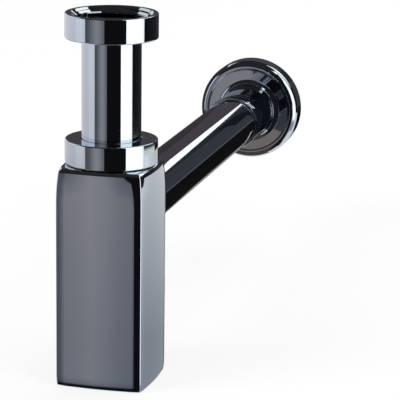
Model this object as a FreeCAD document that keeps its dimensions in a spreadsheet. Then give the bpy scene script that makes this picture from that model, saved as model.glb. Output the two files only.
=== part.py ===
"""Square bottle trap with a telescopic inlet, a straight outlet tube and a deep wall rosette.

Frame: millimetres, +Z up, +Y along the outlet tube towards the wall.
The origin is the centre of the inlet thread's mouth, on the inlet axis.
"""
import FreeCAD, Part
import Sketcher
import os

# Driving sizes in millimetres: alias, value, what it is.
SIZE_TABLE = [
    ("tube_dia", 32.0, "outside diameter of the inlet and outlet tubes"),
    ("tube_wall", 1.0, "wall of both tubes"),
    ("inlet_rise", 81.3, "from the top of the bottle to the inlet nut's mouth"),
    ("wall_reach", 325.0, "from the inlet axis to the face of the wall"),
    ("stub_length", 40.0, "outlet tube behind the face of the wall"),
    ("outlet_drop", 32.5, "from the top of the bottle down to the outlet axis"),
    ("water_seal", 50.0, "from the outlet's invert down to the end of the dip tube"),
    ("nut_dia", 50.0, "outside diameter of both nuts"),
    ("nut_edge", 0.8, "chamfer of the nuts' outer edges"),
    ("inlet_nut_height", 13.5, "height of the inlet nut"),
    ("inlet_lip", 2.2, "lip of the inlet nut under the tube's flange"),
    ("body_nut_height", 13.0, "height of the body nut"),
    ("body_nut_lip", 2.8, "lip of the body nut over the slip ring"),
    ("body_nut_lift", 0.3, "gap between the body nut and the top of the bottle"),
    ("thread_dia", 41.91, "major diameter of the G 1 1/4 threads"),
    ("thread_depth", 1.479, "depth of the G 1 1/4 thread"),
    ("mouth_dia", 44.8, "countersink at the inlet nut's mouth"),
    ("mouth_depth", 1.2, "depth of that countersink"),
    ("relief_dia", 43.0, "relief behind the inlet nut's thread"),
    ("relief_spare", 0.2, "room above the washer in the relief"),
    ("flange_dia", 38.6, "flange at the top of the inlet tube"),
    ("flange_thick", 1.4, "thickness of that flange"),
    ("washer_thick", 2.5, "thickness of the inlet washer"),
    ("washer_lap", 0.5, "how far washers and the outlet's lip stand outside the bore"),
    ("slide_gap", 0.35, "radial gap between the tube and the nuts' lips"),
    ("seal_gap", 0.05, "radial gap of the seals and rings that slide on a tube"),
    ("slip_ring_dia", 38.4, "outside diameter of the slip ring"),
    ("slip_ring_thick", 1.2, "thickness of the slip ring"),
    ("seal_height", 5.8, "height of the cone seal"),
    ("neck_height", 8.5, "height of the threaded neck over the bottle's top"),
    ("neck_gap", 0.9, "radial gap between the neck's bore and the inlet tube"),
    ("seat_dia", 36.4, "diameter of the cone seat at the neck's rim"),
    ("seat_depth", 5.2, "depth of the cone seat"),
    ("seat_gap", 0.2, "gap between the cone seal and its seat"),
    ("body_width", 49.2, "width of the bottle at its corners"),
    ("body_bulge", 0.8, "how far each side stands out at its middle"),
    ("body_height", 120.7, "height of the bottle"),
    ("body_corner", 3.0, "rounding of the upright corners"),
    ("top_round", 1.8, "rounding round the top"),
    ("foot_edge", 0.8, "chamfer round the foot"),
    ("body_wall", 3.0, "wall of the bottle"),
    ("top_thick", 4.0, "thickness of the bottle's top"),
    ("inner_corner", 2.0, "rounding of the bottle's inner corners"),
    ("boss_dia", 42.6, "boss round the outlet, inside the back wall"),
    ("boss_depth", 3.0, "how far that boss stands into the bottle"),
    ("ferrule_dia", 38.0, "thread of the outlet ferrule and its boss"),
    ("ferrule_gap", 0.1, "radial gap of the ferrule in its boss"),
    ("outlet_lip", 1.5, "thickness of the boss's lip under the outlet gasket"),
    ("solder_gap", 0.05, "gap of the soldered joints"),
    ("gasket_thick", 1.5, "thickness of the outlet's and the plug's gaskets"),
    ("gasket_gap", 0.3, "radial gap round both gaskets"),
    ("base_thick", 3.4, "thickness of the base plate"),
    ("plug_boss_gap", 0.7, "from the plug's boss to the bottle's inner wall"),
    ("plug_boss_wall", 1.9, "wall of that boss round the plug's recess"),
    ("plug_seat", 2.0, "width of the seat between the recess and the plug's thread"),
    ("plug_thread_depth", 0.92, "depth of the plug's thread"),
    ("plug_thread_length", 4.5, "length of that thread, three turns of 1.5"),
    ("plug_head_gap", 0.3, "radial gap round the plug's head"),
    ("plug_head_thick", 2.2, "thickness of the plug's head"),
    ("plug_edge", 0.4, "chamfer of the plug's head"),
    ("key_width", 14.0, "hexagon socket of the plug, across its flats"),
    ("key_depth", 3.0, "depth of that socket"),
    ("tube_edge", 0.3, "chamfer of the tubes' free ends"),
    ("mark_width", 1.5, "width of the insertion mark rolled into the outlet tube"),
    ("mark_depth", 0.3, "depth of that mark"),
    ("mark_inset", 1.0, "from the face of the wall to that mark"),
    ("rosette_dia", 65.4, "diameter of the wall rosette"),
    ("rosette_depth", 15.0, "from the wall to the crown of the rosette's bead"),
    ("rosette_wall", 1.2, "wall of the rosette's dish"),
    ("bead_width", 4.9, "width of the bead, from its crown to the rim"),
    ("bead_round", 4.6, "outer rounding of the bead"),
    ("face_dia", 53.6, "diameter of the rosette's flat face"),
    ("face_recess", 0.8, "how far the flat face lies behind the bead"),
    ("sleeve_dia", 34.2, "outside diameter of the rosette's sleeve"),
    ("sleeve_wall", 0.6, "wall of the sleeve"),
    ("sleeve_length", 46.7, "from the flat face to the sleeve's front rim"),
    ("sleeve_flare", 2.0, "flare between the face and the sleeve"),
    ("grip_ring_length", 8.0, "length of the grip ring in the sleeve"),
    ("grip_ring_inset", 2.0, "from the sleeve's front rim to its grip ring"),
]


def value_of(size):
    """The number behind a size or a plain number."""
    return size.value if isinstance(size, Size) else float(size)


def formula_of(size):
    """The spreadsheet formula behind a size or a plain number."""
    return size.formula if isinstance(size, Size) else repr(float(size))


class Size:
    """A length that carries its value and the formula that binds it to the sheet."""

    def __init__(self, value, formula):
        self.value = value
        self.formula = formula

    def combined(self, sign, other, value):
        return Size(value, f"({self.formula} {sign} {formula_of(other)})")

    def __add__(self, other):
        return self.combined("+", other, self.value + value_of(other))

    def __sub__(self, other):
        return self.combined("-", other, self.value - value_of(other))

    def __mul__(self, other):
        return self.combined("*", other, self.value * value_of(other))

    def __truediv__(self, other):
        return self.combined("/", other, self.value / value_of(other))

    def __neg__(self):
        return Size(-self.value, f"(-1 * {self.formula})")


def make_sheet(document):
    """Writes the driving sizes to a spreadsheet and returns them by alias."""
    sheet = document.addObject("Spreadsheet::Sheet", "Sizes")
    sizes = {}
    for row, (alias, value, note) in enumerate(SIZE_TABLE, start=1):
        sheet.set(f"A{row}", note)
        sheet.set(f"B{row}", str(value))
        sheet.setAlias(f"B{row}", alias)
        sizes[alias] = Size(value, f"Sizes.{alias}")
    document.recompute()
    return sizes


doc = FreeCAD.newDocument("BottleTrap")
size = make_sheet(doc)
subparts = []

# Lengths that several sub-parts share.
tube_radius = size["tube_dia"] / 2
bore_radius = tube_radius - size["tube_wall"]
nut_radius = size["nut_dia"] / 2
thread_radius = size["thread_dia"] / 2
neck_radius = thread_radius - size["thread_depth"]
lip_radius = tube_radius + size["slide_gap"]
sliding_radius = tube_radius + size["seal_gap"]
half_width = size["body_width"] / 2
cavity_half = half_width - size["body_wall"]
sleeve_radius = size["sleeve_dia"] / 2
sleeve_bore = sleeve_radius - size["sleeve_wall"]
plug_boss_radius = cavity_half - size["plug_boss_gap"]
recess_radius = plug_boss_radius - size["plug_boss_wall"]
plug_bore = recess_radius - size["plug_seat"]
plug_radius = plug_bore - size["plug_thread_depth"]

# Heights over the origin.
bottle_top = size["mouth_depth"] - size["inlet_rise"]
bottle_foot = bottle_top - size["body_height"]
outlet_axis = bottle_top - size["outlet_drop"]
inlet_nut_foot = size["mouth_depth"] - size["inlet_nut_height"]
flange_foot = inlet_nut_foot + size["inlet_lip"]
flange_top = flange_foot + size["flange_thick"]
dip_end = outlet_axis - bore_radius - size["water_seal"]
body_nut_foot = bottle_top + size["body_nut_lift"]
slip_ring_foot = (
    body_nut_foot + size["body_nut_height"] - size["body_nut_lip"] - size["slip_ring_thick"]
)
seal_foot = slip_ring_foot - size["seal_height"]

# Stations along the outlet axis.
boss_face = cavity_half - size["boss_depth"]
ferrule_start = boss_face + size["outlet_lip"] + size["gasket_thick"]
outlet_bore = bore_radius + size["washer_lap"]
face_station = size["face_recess"] - size["rosette_depth"]
sleeve_front = face_station - size["sleeve_length"]


def bind(thing, prop, length):
    """Ties a property to the sheet's formula of a length."""
    thing.setExpression(prop, formula_of(length))


def new_body(label, x=None, y=None, z=None):
    """A body with its own label, whose place is tied to the sheet."""
    body = doc.addObject("PartDesign::Body", label)
    body.Label = label
    for name, place in (("x", x), ("y", y), ("z", z)):
        if place is not None:
            bind(body, f"Placement.Base.{name}", place)
    subparts.append(body)
    return body


def new_sketch(body, name, role, offset=None):
    """A sketch on one of the body's own origin planes, moved along its normal."""
    sketch = body.newObject("Sketcher::SketchObject", name)
    plane = next(f for f in body.Origin.OriginFeatures if f.Role == role)
    sketch.AttachmentSupport = [(plane, "")]
    sketch.MapMode = "FlatFace"
    if offset is not None:
        bind(sketch, "AttachmentOffset.Base.z", offset)
    return sketch


def constrain(sketch, constraint, length):
    """Adds a dimension to a sketch and ties it to the sheet."""
    index = sketch.addConstraint(constraint)
    sketch.setExpression(f"Constraints[{index}]", formula_of(length))


def pin_point(sketch, geometry, end, x, y):
    """Dimensions a point of a sketch from the sketch's origin; 0 puts it on the axis."""
    for kind, place, axis in (("DistanceX", x, -2), ("DistanceY", y, -1)):
        if not isinstance(place, Size):
            sketch.addConstraint(Sketcher.Constraint("PointOnObject", geometry, end, axis))
        elif place.value > 0:
            across = Sketcher.Constraint(kind, -1, 1, geometry, end, place.value)
            constrain(sketch, across, place)
        else:
            across = Sketcher.Constraint(kind, geometry, end, -1, 1, -place.value)
            constrain(sketch, across, -place)


def draw_outline(sketch, points):
    """A closed outline of straight lines through dimensioned points."""
    corners = [FreeCAD.Vector(value_of(x), value_of(y), 0) for x, y in points]
    for start, end in zip(corners, corners[1:] + corners[:1]):
        sketch.addGeometry(Part.LineSegment(start, end))
    count = len(points)
    for line in range(count):
        joined = Sketcher.Constraint("Coincident", line, 2, (line + 1) % count, 1)
        sketch.addConstraint(joined)
    for line, (x, y) in enumerate(points):
        pin_point(sketch, line, 1, x, y)


def draw_circle(sketch, radius, x=0, y=0):
    """A dimensioned circle."""
    centre = FreeCAD.Vector(value_of(x), value_of(y), 0)
    up = FreeCAD.Vector(0, 0, 1)
    index = sketch.addGeometry(Part.Circle(centre, up, radius.value))
    constrain(sketch, Sketcher.Constraint("Radius", index, radius.value), radius)
    pin_point(sketch, index, 3, x, y)


def draw_square(sketch, half_side):
    """A dimensioned square about the sketch's origin."""
    low = -half_side
    corners = [(half_side, half_side), (low, half_side), (low, low), (half_side, low)]
    draw_outline(sketch, corners)


def draw_bulged_square(sketch, half_side, bulge):
    """A square about the sketch's origin whose sides are shallow arcs."""
    chord = half_side.value
    crown = chord + bulge.value
    for turn in range(4):
        spin = FreeCAD.Rotation(FreeCAD.Vector(0, 0, 1), 90 * turn)
        start, middle, end = (
            spin.multVec(FreeCAD.Vector(*point, 0))
            for point in ((chord, -chord), (crown, 0), (chord, chord))
        )
        sketch.addGeometry(Part.Arc(start, middle, end))
    for side in range(4):
        joined = Sketcher.Constraint("Coincident", side, 2, (side + 1) % 4, 1)
        sketch.addConstraint(joined)
    signs = [(1, -1), (1, 1), (-1, 1), (-1, -1)]
    for side, (along_x, along_y) in enumerate(signs):
        pin_point(sketch, side, 1, half_side * along_x, half_side * along_y)
    arc_radius = (half_side * half_side + bulge * bulge) / (bulge * 2)
    for side in range(4):
        rounding = Sketcher.Constraint("Radius", side, arc_radius.value)
        constrain(sketch, rounding, arc_radius)


def newest(body):
    """The body's newest feature, recomputed."""
    doc.recompute()
    return body.Tip


def must_shrink(body, before, feature):
    """Stops if a cut has left the body's volume as it was."""
    doc.recompute()
    if feature.Shape.Volume > before - 1e-3:
        raise RuntimeError(f"{body.Label}: {feature.Name} cuts nothing")
    body.Tip = feature
    return feature


def pad(body, sketch, length, reverse=False):
    """Raises a sketch along its normal, or against it."""
    feature = body.newObject("PartDesign::Pad", "Pad")
    feature.Profile = sketch
    feature.Reversed = reverse
    bind(feature, "Length", length)
    doc.recompute()
    body.Tip = feature
    return feature


def pocket(body, sketch, length=None, reverse=False):
    """Cuts a sketch out against its normal, or along it; with no length right through."""
    before = newest(body).Shape.Volume
    feature = body.newObject("PartDesign::Pocket", "Pocket")
    feature.Profile = sketch
    feature.Reversed = reverse
    if length is None:
        feature.Type = "ThroughAll"
    else:
        bind(feature, "Length", length)
    return must_shrink(body, before, feature)


def sketch_section(body, name, points, axis):
    """A half section of (radius, station) points beside the Z or Y axis."""
    if axis == "Z":
        sketch = new_sketch(body, name, "XZ_Plane")
        draw_outline(sketch, points)
        return sketch, "V_Axis"
    sketch = new_sketch(body, name, "YZ_Plane")
    draw_outline(sketch, [(station, radius) for radius, station in points])
    return sketch, "H_Axis"


def revolve(body, points, axis="Z"):
    """Turns a half section into a solid."""
    sketch, about = sketch_section(body, "Section", points, axis)
    feature = body.newObject("PartDesign::Revolution", "Revolution")
    feature.Profile = sketch
    feature.ReferenceAxis = (sketch, [about])
    feature.Angle = 360
    doc.recompute()
    body.Tip = feature
    return feature


def groove(body, points, axis="Z"):
    """Cuts a turned half section out of the body."""
    before = newest(body).Shape.Volume
    sketch, about = sketch_section(body, "GrooveSection", points, axis)
    feature = body.newObject("PartDesign::Groove", "Groove")
    feature.Profile = sketch
    feature.ReferenceAxis = (sketch, [about])
    feature.Angle = 360
    return must_shrink(body, before, feature)


def circle_at(body, radius, station, axis="Z"):
    """The names of the body's circular edges of one radius at one station."""
    shape = newest(body).Shape
    names = []
    for number, edge in enumerate(shape.Edges, start=1):
        if not isinstance(edge.Curve, Part.Circle):
            continue
        centre = edge.Curve.Center
        along = centre.z if axis == "Z" else centre.y
        near = abs(edge.Curve.Radius - value_of(radius)) < 1e-4
        if near and abs(along - value_of(station)) < 1e-4:
            names.append(f"Edge{number}")
    return names


def edges_where(body, test):
    """The names of the body's edges that pass a test."""
    edges = enumerate(newest(body).Shape.Edges, start=1)
    return [f"Edge{number}" for number, edge in edges if test(edge)]


def fillet(body, edges, radius):
    """Rounds the named edges of the newest feature."""
    base = newest(body)
    feature = body.newObject("PartDesign::Fillet", "Fillet")
    feature.Base = (base, edges)
    bind(feature, "Radius", radius)
    doc.recompute()
    body.Tip = feature
    return feature


def chamfer(body, edges, length):
    """Bevels the named edges of the newest feature."""
    base = newest(body)
    feature = body.newObject("PartDesign::Chamfer", "Chamfer")
    feature.Base = (base, edges)
    bind(feature, "Size", length)
    doc.recompute()
    body.Tip = feature
    return feature


def make_ring(label, inner, outer, length, axis="Z", **place):
    """A plain ring whose foot is at its body's origin."""
    body = new_body(label, **place)
    revolve(body, [(inner, 0), (outer, 0), (outer, length), (inner, length)], axis)
    return body


def make_inlet_nut():
    """The union nut: lip, relief for flange and washer, thread and countersunk mouth."""
    body = new_body("inlet_nut", z=inlet_nut_foot)
    lip = size["inlet_lip"]
    height = size["inlet_nut_height"]
    relief_radius = size["relief_dia"] / 2
    relief_top = lip + size["flange_thick"] + size["washer_thick"] + size["relief_spare"]
    revolve(body, [
        (lip_radius, 0),
        (nut_radius, 0),
        (nut_radius, height),
        (size["mouth_dia"] / 2, height),
        (thread_radius, height - size["mouth_depth"]),
        (thread_radius, relief_top),
        (relief_radius, relief_top),
        (relief_radius, lip),
        (lip_radius, lip),
    ])
    outer = circle_at(body, nut_radius, 0) + circle_at(body, nut_radius, height)
    chamfer(body, outer, size["nut_edge"])


def make_inlet_tube():
    """The inlet tube with its flange; its lower end is the dip tube."""
    body = new_body("inlet_tube", z=dip_end)
    flange_radius = size["flange_dia"] / 2
    under = flange_foot - dip_end
    top = flange_top - dip_end
    revolve(body, [
        (bore_radius, 0),
        (tube_radius, 0),
        (tube_radius, under),
        (flange_radius, under),
        (flange_radius, top),
        (bore_radius, top),
    ])
    chamfer(body, circle_at(body, tube_radius, 0), size["tube_edge"])


def make_body_nut():
    """The compression nut on the bottle's neck."""
    body = new_body("body_nut", z=body_nut_foot)
    height = size["body_nut_height"]
    lip_foot = height - size["body_nut_lip"]
    revolve(body, [
        (thread_radius, 0),
        (nut_radius, 0),
        (nut_radius, height),
        (lip_radius, height),
        (lip_radius, lip_foot),
        (thread_radius, lip_foot),
    ])
    outer = circle_at(body, nut_radius, 0) + circle_at(body, nut_radius, height)
    chamfer(body, outer, size["nut_edge"])


def make_cone_seal():
    """The tapered seal; its taper follows the seat in the neck."""
    body = new_body("cone_seal", z=seal_foot)
    seat_foot_radius = tube_radius + size["neck_gap"]
    seat_rim_radius = size["seat_dia"] / 2
    seat_foot = bottle_top + size["neck_height"] - size["seat_depth"]
    slope = (seat_rim_radius - seat_foot_radius) / size["seat_depth"]
    foot_radius = seat_foot_radius + slope * (seal_foot - seat_foot) - size["seat_gap"]
    revolve(body, [
        (sliding_radius, 0),
        (foot_radius, 0),
        (foot_radius + slope * size["seal_height"], size["seal_height"]),
        (sliding_radius, size["seal_height"]),
    ])


def on_edge_plane(edge, height):
    """Whether an edge lies in one level plane."""
    return all(abs(vertex.Z - height) < 1e-4 for vertex in edge.Vertexes)


def make_trap_body():
    """The bottle: a forged square shell with a threaded neck and an outlet boss."""
    body = new_body("trap_body", z=bottle_foot)
    height = size["body_height"]
    profile = new_sketch(body, "BottleProfile", "XY_Plane")
    draw_bulged_square(profile, half_width, size["body_bulge"])
    pad(body, profile, height)
    upright = edges_where(body, lambda edge: abs(edge.Vertexes[0].Z - edge.Vertexes[-1].Z) > 1)
    fillet(body, upright, size["body_corner"])
    fillet(body, edges_where(body, lambda edge: on_edge_plane(edge, height.value)), size["top_round"])
    chamfer(body, edges_where(body, lambda edge: on_edge_plane(edge, 0)), size["foot_edge"])

    cavity = new_sketch(body, "CavityProfile", "XY_Plane")
    draw_square(cavity, cavity_half)
    cavity_top = height - size["top_thick"]
    pocket(body, cavity, cavity_top, reverse=True)
    inner = edges_where(body, lambda edge: is_upright_at(edge, cavity_half.value))
    fillet(body, inner, size["inner_corner"])

    neck = new_sketch(body, "NeckProfile", "XY_Plane", height)
    draw_circle(neck, neck_radius)
    pad(body, neck, size["neck_height"])
    neck_rim = height + size["neck_height"]
    seat_foot = neck_rim - size["seat_depth"]
    neck_bore = tube_radius + size["neck_gap"]
    groove(body, [
        (0, cavity_top),
        (neck_bore, cavity_top),
        (neck_bore, seat_foot),
        (size["seat_dia"] / 2, neck_rim),
        (0, neck_rim),
    ])

    outlet_height = height - size["outlet_drop"]
    boss = new_sketch(body, "BossProfile", "XZ_Plane", -cavity_half)
    draw_circle(boss, size["boss_dia"] / 2, 0, outlet_height)
    pad(body, boss, size["boss_depth"])
    lip_bore = new_sketch(body, "OutletBore", "XZ_Plane")
    draw_circle(lip_bore, outlet_bore, 0, outlet_height)
    pocket(body, lip_bore)
    seat = new_sketch(body, "FerruleSeat", "XZ_Plane", -(boss_face + size["outlet_lip"]))
    draw_circle(seat, size["ferrule_dia"] / 2, 0, outlet_height)
    pocket(body, seat)


def is_upright_at(edge, half_side):
    """Whether an edge is one of the cavity's upright corners."""
    low, high = edge.Vertexes[0], edge.Vertexes[-1]
    level = abs(low.Z - high.Z) < 1
    square = abs(abs(low.X) - half_side) < 1e-4 and abs(abs(low.Y) - half_side) < 1e-4
    return square and not level


def make_outlet_ferrule():
    """The threaded ferrule soldered on the outlet tube."""
    inner = tube_radius + size["solder_gap"]
    outer = size["ferrule_dia"] / 2 - size["ferrule_gap"]
    length = half_width - ferrule_start
    make_ring("outlet_ferrule", inner, outer, length, "Y", y=ferrule_start, z=outlet_axis)


def make_outlet_gasket():
    """The flat gasket that the ferrule presses on the boss's lip."""
    outer = size["ferrule_dia"] / 2 - size["gasket_gap"]
    station = ferrule_start - size["gasket_thick"]
    make_ring(
        "outlet_gasket", outlet_bore, outer, size["gasket_thick"], "Y", y=station, z=outlet_axis
    )


def make_outlet_tube():
    """The outlet tube, from its gasket through the rosette into the wall."""
    body = new_body("outlet_tube", y=ferrule_start, z=outlet_axis)
    length = size["wall_reach"] + size["stub_length"] - ferrule_start
    mark_start = size["wall_reach"] + size["mark_inset"] - ferrule_start
    mark_end = mark_start + size["mark_width"]
    mark_radius = tube_radius - size["mark_depth"]
    revolve(body, [
        (bore_radius, 0),
        (tube_radius, 0),
        (tube_radius, mark_start),
        (mark_radius, mark_start),
        (mark_radius, mark_end),
        (tube_radius, mark_end),
        (tube_radius, length),
        (bore_radius, length),
    ], "Y")
    chamfer(body, circle_at(body, tube_radius, length, "Y"), size["tube_edge"])


def make_base_plate():
    """The plate that closes the bottle, with the threaded seat of the cleaning plug."""
    body = new_body("base_plate", z=bottle_foot)
    plate = new_sketch(body, "PlateProfile", "XY_Plane")
    plate_half = cavity_half - size["solder_gap"]
    draw_square(plate, plate_half)
    pad(body, plate, size["base_thick"])
    corners = edges_where(body, lambda edge: is_upright_at(edge, plate_half.value))
    fillet(body, corners, size["inner_corner"])
    recess = size["plug_head_thick"] + size["gasket_thick"]
    seat_top = recess + size["plug_thread_length"]
    boss = new_sketch(body, "PlugBoss", "XY_Plane")
    draw_circle(boss, plug_boss_radius)
    pad(body, boss, seat_top)
    groove(body, [
        (0, 0),
        (recess_radius, 0),
        (recess_radius, recess),
        (plug_bore, recess),
        (plug_bore, seat_top),
        (0, seat_top),
    ])


def make_cleaning_plug():
    """The cleaning plug: flush head with a hexagon socket, and a threaded shank."""
    body = new_body("cleaning_plug", z=bottle_foot)
    head_radius = recess_radius - size["plug_head_gap"]
    shank_top = size["plug_head_thick"] + size["gasket_thick"] + size["plug_thread_length"]
    revolve(body, [
        (0, 0),
        (head_radius, 0),
        (head_radius, size["plug_head_thick"]),
        (plug_radius, size["plug_head_thick"]),
        (plug_radius, shank_top),
        (0, shank_top),
    ])
    chamfer(body, circle_at(body, head_radius, 0), size["plug_edge"])
    socket = new_sketch(body, "KeySocket", "XY_Plane")
    half_key = size["key_width"] / 2
    flat_end = half_key * (1 / 3 ** 0.5)
    tip = flat_end * 2
    draw_outline(socket, [
        (tip, 0),
        (flat_end, half_key),
        (-flat_end, half_key),
        (-tip, 0),
        (-flat_end, -half_key),
        (flat_end, -half_key),
    ])
    pocket(body, socket, size["key_depth"], reverse=True)


def make_plug_gasket():
    """The flat gasket between the plug's head and the floor of its recess."""
    outer = recess_radius - size["gasket_gap"]
    foot = bottle_foot + size["plug_head_thick"]
    make_ring("plug_gasket", plug_bore, outer, size["gasket_thick"], z=foot)


def make_wall_rosette():
    """The rosette: rim, rounded bead, recessed flat face and long sleeve in one spun piece."""
    body = new_body("wall_rosette", y=size["wall_reach"], z=outlet_axis)
    wall = size["rosette_wall"]
    rim_radius = size["rosette_dia"] / 2
    crown_radius = rim_radius - size["bead_width"]
    face_radius = size["face_dia"] / 2
    crown = -size["rosette_depth"]
    inner_rim = rim_radius - wall
    flare = size["sleeve_flare"]
    revolve(body, [
        (rim_radius, 0),
        (rim_radius, crown),
        (crown_radius, crown),
        (face_radius, face_station),
        (sleeve_radius + flare, face_station),
        (sleeve_radius, face_station - flare),
        (sleeve_radius, sleeve_front),
        (sleeve_bore, sleeve_front),
        (sleeve_bore, face_station + wall),
        (face_radius, face_station + wall),
        (crown_radius, crown + wall),
        (inner_rim, crown + wall),
        (inner_rim, 0),
    ], "Y")
    fillet(body, circle_at(body, inner_rim, crown + wall, "Y"), size["bead_round"] - wall)
    fillet(body, circle_at(body, rim_radius, crown, "Y"), size["bead_round"])


def make_rosette_ring():
    """The thin ring that holds the rosette's sleeve on the tube."""
    outer = sleeve_bore - size["seal_gap"]
    station = size["wall_reach"] + sleeve_front + size["grip_ring_inset"]
    make_ring(
        "rosette_ring", sliding_radius, outer, size["grip_ring_length"], "Y", y=station, z=outlet_axis
    )


make_inlet_nut()
make_ring(
    "inlet_washer",
    bore_radius + size["washer_lap"],
    size["flange_dia"] / 2,
    size["washer_thick"],
    z=flange_top,
)
make_inlet_tube()
make_body_nut()
make_ring(
    "slip_ring",
    lip_radius,
    size["slip_ring_dia"] / 2,
    size["slip_ring_thick"],
    z=slip_ring_foot,
)
make_cone_seal()
make_trap_body()
make_base_plate()
make_cleaning_plug()
make_plug_gasket()
make_outlet_ferrule()
make_outlet_gasket()
make_outlet_tube()
make_wall_rosette()
make_rosette_ring()

doc.recompute()
for thing in doc.Objects:
    if "Invalid" in thing.State or "Error" in thing.State:
        raise RuntimeError(f"{thing.Name} failed: {thing.State}")
for subpart in subparts:
    if subpart.Shape.isNull() or not subpart.Shape.isValid():
        raise RuntimeError(f"{subpart.Label} has no valid shape")

os.makedirs("parts", exist_ok=True)
for subpart in subparts:
    subpart.Shape.exportStep(f"parts/{subpart.Label}.step")
    box = subpart.Shape.optimalBoundingBox()
    print(
        f"{subpart.Label}: {len(subpart.Shape.Solids)} solid, "
        f"{subpart.Shape.Volume / 1000:.2f} cm3, z {box.ZMin:.2f} to {box.ZMax:.2f}, "
        f"y {box.YMin:.2f} to {box.YMax:.2f}"
    )
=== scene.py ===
# %% [markdown]
# # A chromed bottle trap
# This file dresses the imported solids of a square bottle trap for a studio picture.
# The solids give every size and place. The visible metal is modelled again with many
# more faces, because polished chrome is a mirror: it shows each flat facet of a coarse
# mesh. Small seals and rings, which nobody sees while the trap is whole, keep their
# solids and only get a better finish.

# %% Load the frame
import bpy
import bmesh
from math import cos, pi, radians, sin, sqrt, tan
from mathutils import Matrix, Vector


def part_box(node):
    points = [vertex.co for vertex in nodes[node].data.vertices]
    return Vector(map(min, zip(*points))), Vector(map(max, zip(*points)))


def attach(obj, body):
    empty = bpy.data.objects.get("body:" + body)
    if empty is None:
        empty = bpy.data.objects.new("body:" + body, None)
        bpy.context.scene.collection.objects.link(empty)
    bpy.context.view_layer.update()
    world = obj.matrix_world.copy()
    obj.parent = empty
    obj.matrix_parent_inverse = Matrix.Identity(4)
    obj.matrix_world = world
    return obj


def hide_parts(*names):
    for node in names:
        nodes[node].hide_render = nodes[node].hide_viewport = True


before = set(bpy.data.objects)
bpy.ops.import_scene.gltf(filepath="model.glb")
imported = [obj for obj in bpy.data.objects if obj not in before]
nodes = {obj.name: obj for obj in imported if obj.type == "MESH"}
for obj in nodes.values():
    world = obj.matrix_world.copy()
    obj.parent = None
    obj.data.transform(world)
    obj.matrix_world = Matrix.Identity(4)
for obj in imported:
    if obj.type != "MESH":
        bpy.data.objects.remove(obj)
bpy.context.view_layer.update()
print("nodes:", ", ".join(sorted(nodes)))

# %% [markdown]
# ## Working like a lathe
# Nuts, tubes and the rosette are turned parts: each is one half section swung round an
# axis. In Blender a ring of points can be extruded from station to station instead,
# which gives the same skin in even columns of quads. The ring is added as a circle at
# its place, extruded along the axis and scaled at each station, and the last ring is
# welded to the first. Edges are rounded afterwards with a bevel, as a turner breaks
# an edge with a file.

# %% Edit-mode helpers
MM = 0.001
TINY = 1e-6
AXES = {"X": Vector((1, 0, 0)), "Y": Vector((0, 1, 0)), "Z": Vector((0, 0, 1))}


def nothing_selected():
    """Leaves object mode with nothing selected."""
    if bpy.context.object and bpy.context.object.mode != "OBJECT":
        bpy.ops.object.mode_set(mode="OBJECT")
    bpy.ops.object.select_all(action="DESELECT")


def select_only(piece):
    """Makes one piece the active and only selected object."""
    nothing_selected()
    piece.select_set(True)
    bpy.context.view_layer.objects.active = piece


def pick(piece, kind, test):
    """In edit mode, selects just the vertices, edges or faces that pass a test."""
    bpy.ops.mesh.select_mode(type=kind)
    bpy.ops.mesh.select_all(action="DESELECT")
    mesh = bmesh.from_edit_mesh(piece.data)
    mesh.normal_update()
    for part in {"VERT": mesh.verts, "EDGE": mesh.edges, "FACE": mesh.faces}[kind]:
        if test(part):
            part.select_set(True)
    mesh.select_flush_mode()
    bmesh.update_edit_mesh(piece.data)


def upright(edge):
    """Whether an edge's two ends lie at different heights."""
    return abs(edge.verts[0].co.z - edge.verts[1].co.z) > TINY


def rename(piece, name):
    """Gives a piece and its mesh one name."""
    piece.name = name
    piece.data.name = name


def settle(piece, name, angle=30):
    """Names a finished piece, moves its place into its mesh and shades it smooth.

    The weighted normals keep wide walls flat beside their narrow rounded edges."""
    select_only(piece)
    rename(piece, name)
    bpy.ops.object.transform_apply(location=True, rotation=True, scale=True)
    bpy.ops.object.shade_smooth_by_angle(angle=radians(angle))
    bpy.ops.object.modifier_add(type="WEIGHTED_NORMAL")
    weighting = piece.modifiers[-1]
    weighting.keep_sharp = True
    weighting.weight = 90
    bpy.ops.object.modifier_apply(modifier=weighting.name)
    nothing_selected()
    print(f"{name}: {len(piece.data.polygons)} faces")
    return piece


# %% The lathe
WELD = 0.002
POLE = 0.001


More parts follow.
